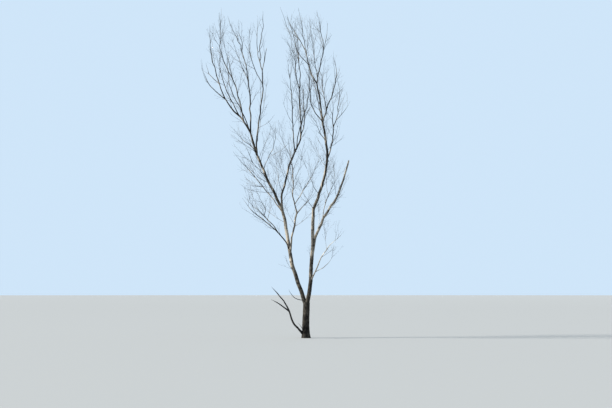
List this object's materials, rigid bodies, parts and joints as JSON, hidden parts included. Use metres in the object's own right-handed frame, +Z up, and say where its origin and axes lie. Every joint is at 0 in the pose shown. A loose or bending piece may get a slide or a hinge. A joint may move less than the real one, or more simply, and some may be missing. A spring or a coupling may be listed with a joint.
{
  "type": "dead tree",
  "caption": "Tall slender bare dead tree: a short flared trunk parts low into upright boughs that carry an open crown of ascending leafless limbs.",
  "frame": {"origin": "middle of the flat cut under the trunk, at ground level", "axes": "+Z up the tree, +X to the right of someone facing it from the picture's side, +Y away from them"},
  "size_m": [4.206, 2.8102, 9.4008],
  "materials": {
    "foot": "rough dark bark",
    "bough": "weathered grey bark",
    "limb": "thin dark grey bark",
    "bleached": "bare bleached wood"
  },
  "bodies": {
    "root": {"trunk": "foot", "left_bough": "bough", "left_upper_bough": "bough", "centre_bough": "bough", "centre_leader": "bough", "centre_right_leader": "limb", "centre_left_leader": "bough", "centre_cross": "limb", "centre_top_left": "limb", "centre_top_right": "limb", "middle_bough": "bough", "middle_upper_bough": "bough", "middle_right_upper": "limb", "middle_right_lower": "limb", "right_bough": "bough", "right_upper_bough": "bough", "right_leader": "limb", "right_leader_bend": "limb", "right_leader_top": "limb", "right_leader_side": "limb", "right_fork_outer": "limb", "right_fork_outer_side": "limb", "right_fork_middle": "limb", "right_inner_side": "limb", "right_inner_parallel": "limb", "right_outer_limb": "limb", "right_outer_inner": "limb", "right_inner_shoot": "limb", "right_side_bough": "limb", "right_side_outer": "limb", "right_side_far": "limb", "broken_bough": "bough", "broken_bough_shoot": "limb", "pale_branch": "bleached", "pale_branch_side": "bleached", "low_left_bough": "limb", "low_left_upper": "limb", "low_left_side": "limb", "left_side_long": "limb", "left_side_short": "limb", "left_side_lower": "limb", "left_side_upper": "limb", "right_shoot_long": "limb", "inner_left_bough": "limb", "inner_left_twin": "limb", "inner_left_stub": "limb", "inner_left_side": "limb", "left_outer_bough": "bough", "left_centre_leader": "limb", "left_centre_fork": "limb", "left_centre_side": "limb", "left_cross_limb": "limb", "left_outer_leader": "limb", "left_outer_reach": "limb", "left_outer_side": "limb", "left_crown_limb": "limb", "left_crown_side": "limb", "left_inner_limb": "limb", "basal_stem": "foot", "basal_stem_fork": "foot"}
  },
  "joints": []
}
